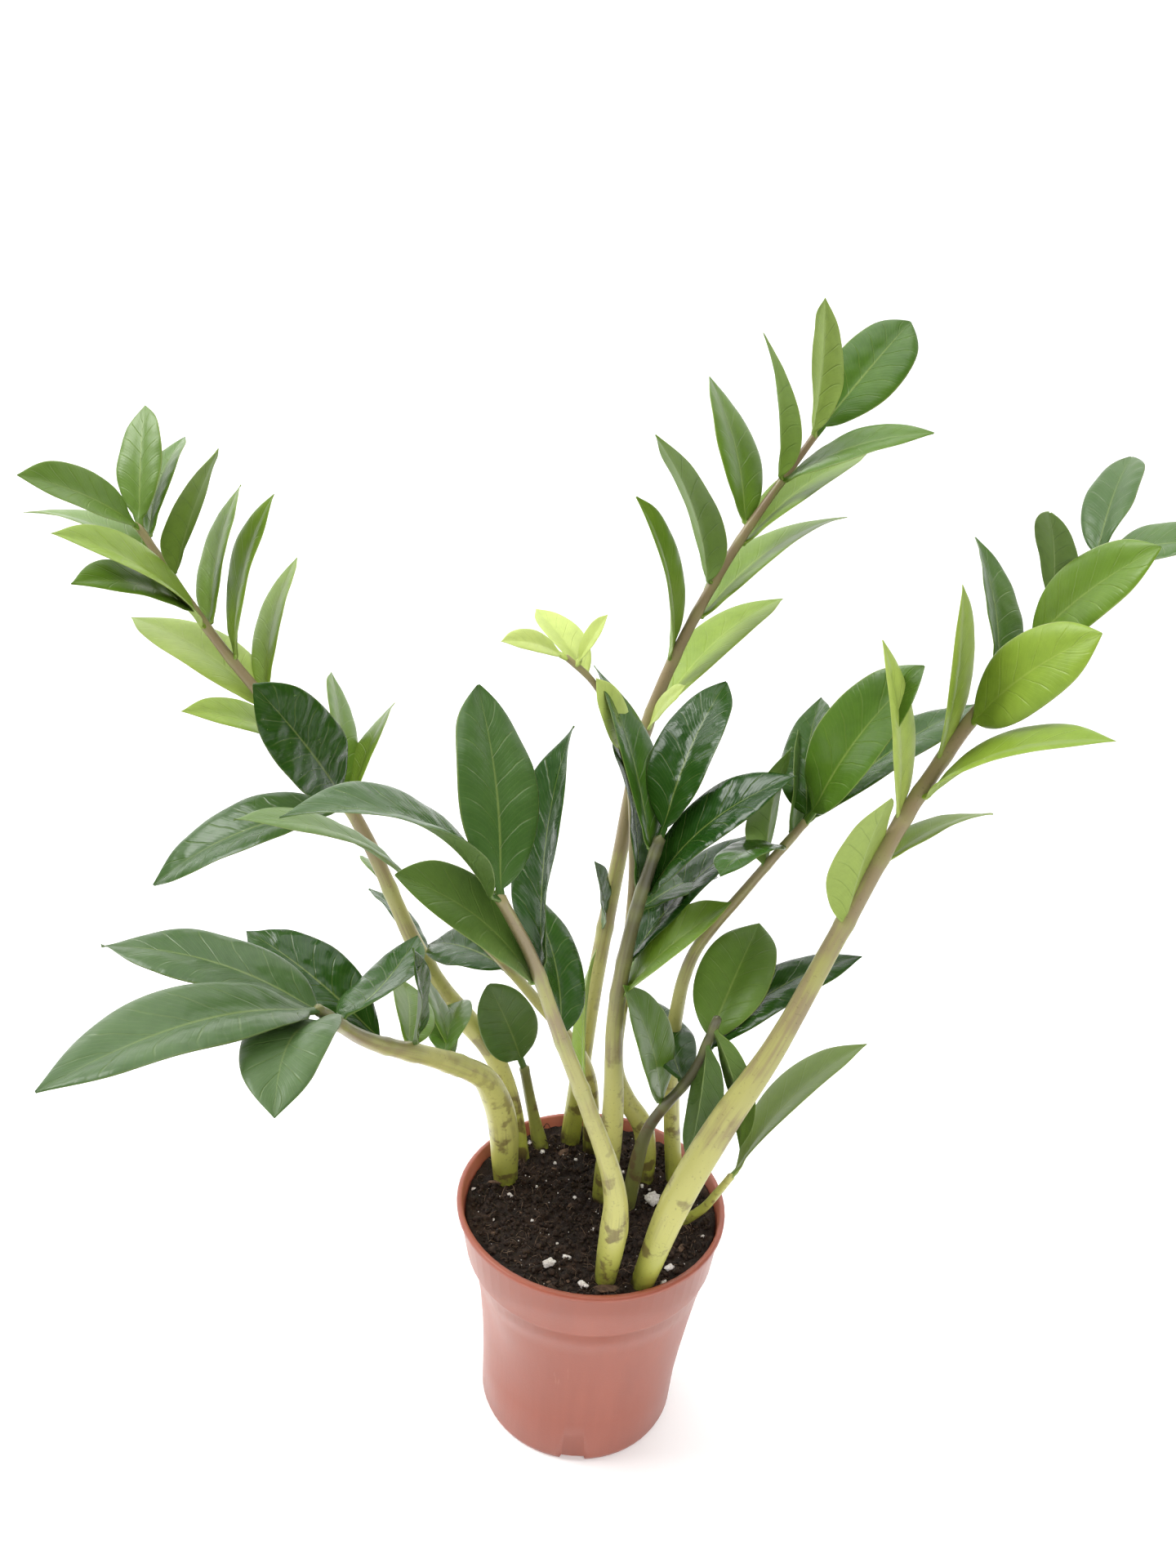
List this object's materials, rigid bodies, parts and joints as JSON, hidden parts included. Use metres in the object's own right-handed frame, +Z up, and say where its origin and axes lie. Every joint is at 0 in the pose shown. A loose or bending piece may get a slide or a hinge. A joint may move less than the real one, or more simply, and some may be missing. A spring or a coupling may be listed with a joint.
{
  "type": "potted zz plant",
  "caption": "Potted ZZ plant: arching fleshy stems with glossy leaflets, in peat soil in a thin tapered nursery pot.",
  "frame": {"origin": "middle of the flat pad under the pot, on the level the pot stands on", "axes": "+Z up along the pot's axis, -Y to the side the plant is seen from, +X to that side's right"},
  "size_m": [0.4744, 0.3305, 0.5314],
  "materials": {
    "pot_plastic": "matte",
    "soil_peat": "matte",
    "stem_pale": "satin",
    "stem_dark": "satin",
    "leaf_deep": "gloss",
    "leaf_fresh": "satin"
  },
  "bodies": {
    "root": {"leaf_behind_front_pale": "leaf_fresh", "leaf_centre_front_right": "leaf_deep", "leaf_centre_mid_right": "leaf_deep", "leaf_centre_tip": "leaf_fresh", "leaf_centre_wide": "leaf_deep", "leaf_dark_back_broad": "leaf_deep", "leaf_front_arching": "leaf_fresh", "leaf_front_blunt": "leaf_deep", "leaf_front_tall_back": "leaf_deep", "leaf_front_upright": "leaf_deep", "leaf_inner_right_broad": "leaf_deep", "leaf_inner_right_dark_behind": "leaf_deep", "leaf_low_left_cupped": "leaf_deep", "leaf_low_left_hanging": "leaf_deep", "leaf_low_left_long": "leaf_deep", "leaf_low_left_upper": "leaf_deep", "leaf_low_left_wavy": "leaf_deep", "leaf_shoot_right_pale": "leaf_fresh", "leaf_small_right_broad": "leaf_deep", "leaf_small_right_twisted": "leaf_deep", "leaf_tall_centre_back_left": "leaf_deep", "leaf_tall_centre_low_right": "leaf_deep", "leaf_tall_centre_lowest_right": "leaf_deep", "leaf_tall_centre_mid_left": "leaf_deep", "leaf_tall_centre_mid_right": "leaf_deep", "leaf_tall_centre_tip": "leaf_fresh", "leaf_tall_centre_tip_right": "leaf_deep", "leaf_tall_centre_upper_left": "leaf_deep", "leaf_tall_centre_upper_right": "leaf_deep", "leaf_tall_left_dark_wide": "leaf_deep", "leaf_tall_left_drooping": "leaf_deep", "leaf_tall_left_light_left": "leaf_fresh", "leaf_tall_left_long_left": "leaf_deep", "leaf_tall_left_low_front": "leaf_deep", "leaf_tall_left_pale_front": "leaf_fresh", "leaf_tall_left_tip": "leaf_fresh", "leaf_tall_left_tip_left": "leaf_fresh", "leaf_tall_left_upper_back": "leaf_deep", "leaf_tall_left_upper_right": "leaf_deep", "leaf_tall_right_back": "leaf_deep", "leaf_tall_right_front": "leaf_deep", "leaf_tall_right_light": "leaf_fresh", "leaf_tall_right_pale": "leaf_fresh", "leaf_tall_right_tip": "leaf_fresh", "leaf_tall_right_tip_left": "leaf_fresh", "leaf_tall_right_tip_right": "leaf_deep", "pot": "pot_plastic", "soil": "soil_peat", "stem_behind_front": "stem_pale", "stem_centre": "stem_dark", "stem_dark_back": "stem_dark", "stem_front": "stem_pale", "stem_inner_right": "stem_pale", "stem_low_left": "stem_pale", "stem_shoot_right": "stem_pale", "stem_small_right": "stem_dark", "stem_tall_centre": "stem_pale", "stem_tall_left": "stem_pale", "stem_tall_right": "stem_pale", "stem_young": "stem_pale"}
  },
  "joints": []
}
